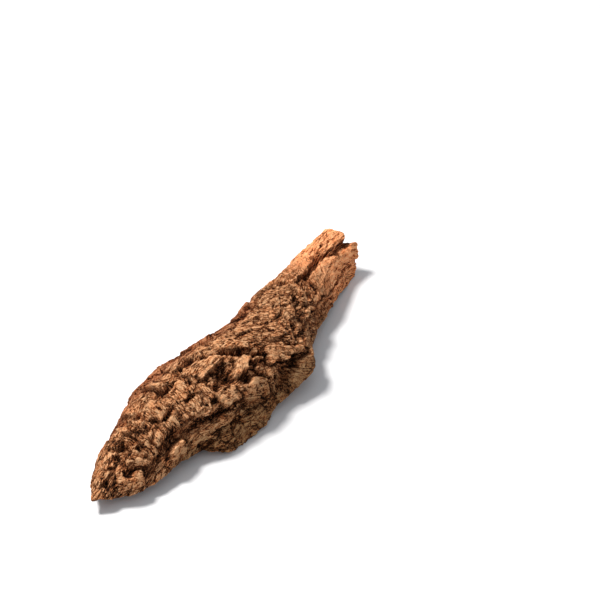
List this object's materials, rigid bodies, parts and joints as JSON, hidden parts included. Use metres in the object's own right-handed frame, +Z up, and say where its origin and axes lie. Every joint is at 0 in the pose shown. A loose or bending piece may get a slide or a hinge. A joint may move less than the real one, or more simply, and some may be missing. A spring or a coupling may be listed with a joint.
{
  "type": "cork bark slab",
  "caption": "Arched slab of rough cork oak bark, narrow and pointed at one end and broken off at the other, hollow underneath, lying on its rims.",
  "frame": {"origin": "middle of the bounding box, on the floor the slab lies on", "axes": "+X along the slab from its narrow tip to its broken end, +Y to its left side, +Z up from the floor to the crown of the arch"},
  "size_m": [0.302, 0.0886, 0.0451],
  "materials": {
    "bark": "rough, dry, matt outer bark, tan on the raised plates and dark brown in the furrows"
  },
  "bodies": {
    "root": {"cork_slab": "bark"}
  },
  "joints": []
}
